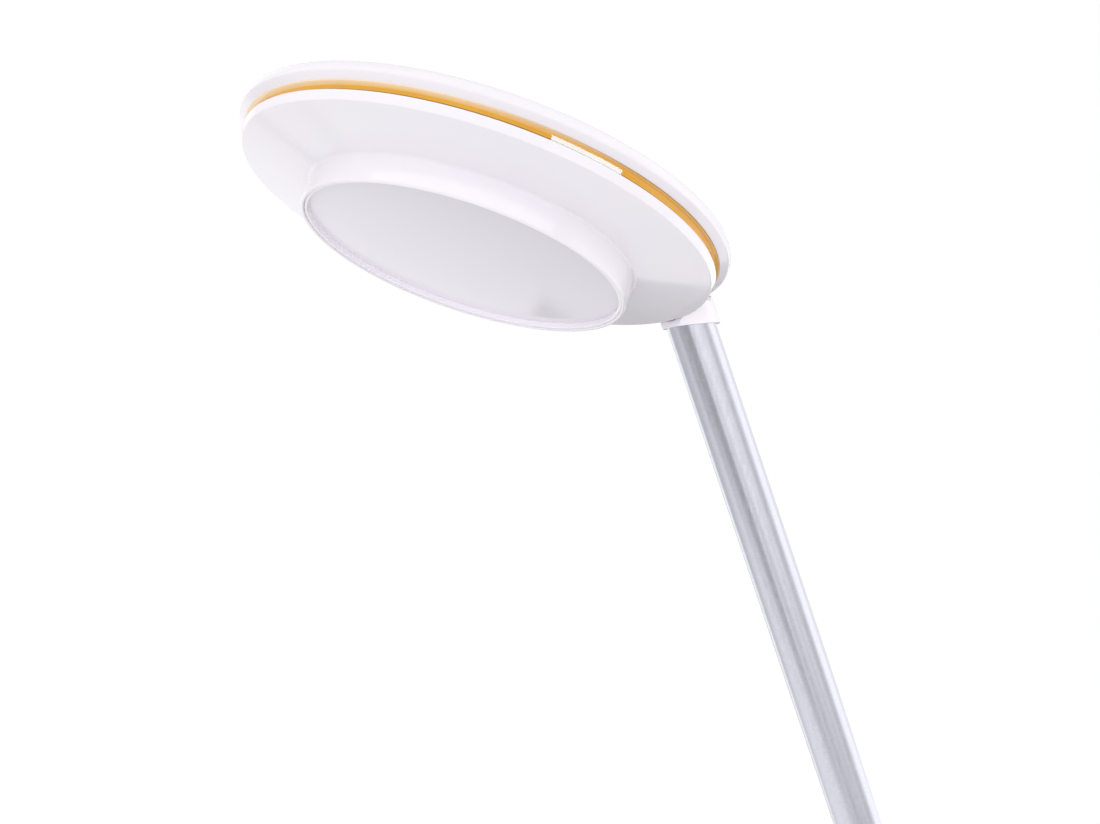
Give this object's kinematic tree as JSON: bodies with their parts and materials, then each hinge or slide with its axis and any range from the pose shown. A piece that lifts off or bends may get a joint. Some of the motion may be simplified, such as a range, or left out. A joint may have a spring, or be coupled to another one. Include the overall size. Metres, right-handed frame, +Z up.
{
  "type": "led desk lamp",
  "caption": "Desk lamp with a weighted round base, a straight tube arm and a flat round light head with a clear amber ring, on two friction hinges.",
  "frame": {"origin": "middle of the base, on the plane that the lamp stands on", "axes": "+Z up, the head reaches forward over -X, the lamp is built about the plane Y = 0"},
  "size_m": [0.3613, 0.2, 0.4469],
  "materials": {
    "white_gloss": "moulded and polished white",
    "white_coat": "white powder coat",
    "coated_steel": "black powder coat",
    "cast_weight": "as cast",
    "soft_pad": "fine-celled foam rubber",
    "bright_steel": "zinc plated",
    "satin_aluminium": "satin anodised",
    "sheet_aluminium": "mill finish",
    "friction_washer": "plain",
    "circuit_board": "solder mask",
    "white_board": "white solder mask on metal core",
    "led_phosphor": "phosphor under clear resin",
    "turned_brass": "turned",
    "black_plastic": "moulded",
    "button_grey": "satin moulded",
    "lead_sheath": "extruded",
    "amber_clear": "clear amber, polished",
    "opal_sheet": "satin opal"
  },
  "bodies": {
    "base": {"base_shell": "white_gloss", "base_bottom_plate": "coated_steel", "base_weight": "cast_weight", "base_pad": "soft_pad", "base_screws": "bright_steel", "base_hinge_fork": "satin_aluminium", "fork_bolts": "bright_steel", "base_hinge_pin": "bright_steel", "base_hinge_nut": "bright_steel", "base_hinge_washers": "friction_washer", "control_board": "circuit_board", "board_spacers": "turned_brass", "board_screws": "bright_steel", "driver_parts": "black_plastic", "push_switch": "black_plastic", "dc_inlet": "black_plastic"},
    "button": {"power_button": "button_grey"},
    "arm": {"arm_foot": "satin_aluminium", "foot_screw": "bright_steel", "arm_tube": "satin_aluminium", "arm_lead": "lead_sheath", "neck_clevis": "white_coat", "neck_cap": "white_gloss", "neck_screw": "bright_steel", "head_hinge_pin": "bright_steel", "head_hinge_washers": "friction_washer"},
    "head": {"hinge_bracket": "white_coat", "bracket_screws": "bright_steel", "head_top_cover": "white_gloss", "accent_ring": "amber_clear", "head_lower_shell": "white_gloss", "diffuser_bezel": "white_gloss", "diffuser": "opal_sheet", "heat_spreader": "sheet_aluminium", "led_board": "white_board", "led_chips": "led_phosphor", "head_screws": "bright_steel"}
  },
  "joints": [
    {"name": "button_press", "type": "slide", "parent": "base", "child": "button", "axis": [0, 0, -1], "range_m": [0, 0.001], "stiffness_N_per_m": 600, "springref_m": -0.001},
    {"name": "arm_tilt", "type": "hinge", "parent": "base", "child": "arm", "pos_m": [0.055, 0, 0.04], "axis": [0, 1, 0], "range_deg": [-25, 17]},
    {"name": "head_tilt", "type": "hinge", "parent": "arm", "child": "head", "pos_m": [-0.07611, 0, 0.36451], "axis": [0, 1, 0], "range_deg": [-20, 28]}
  ]
}
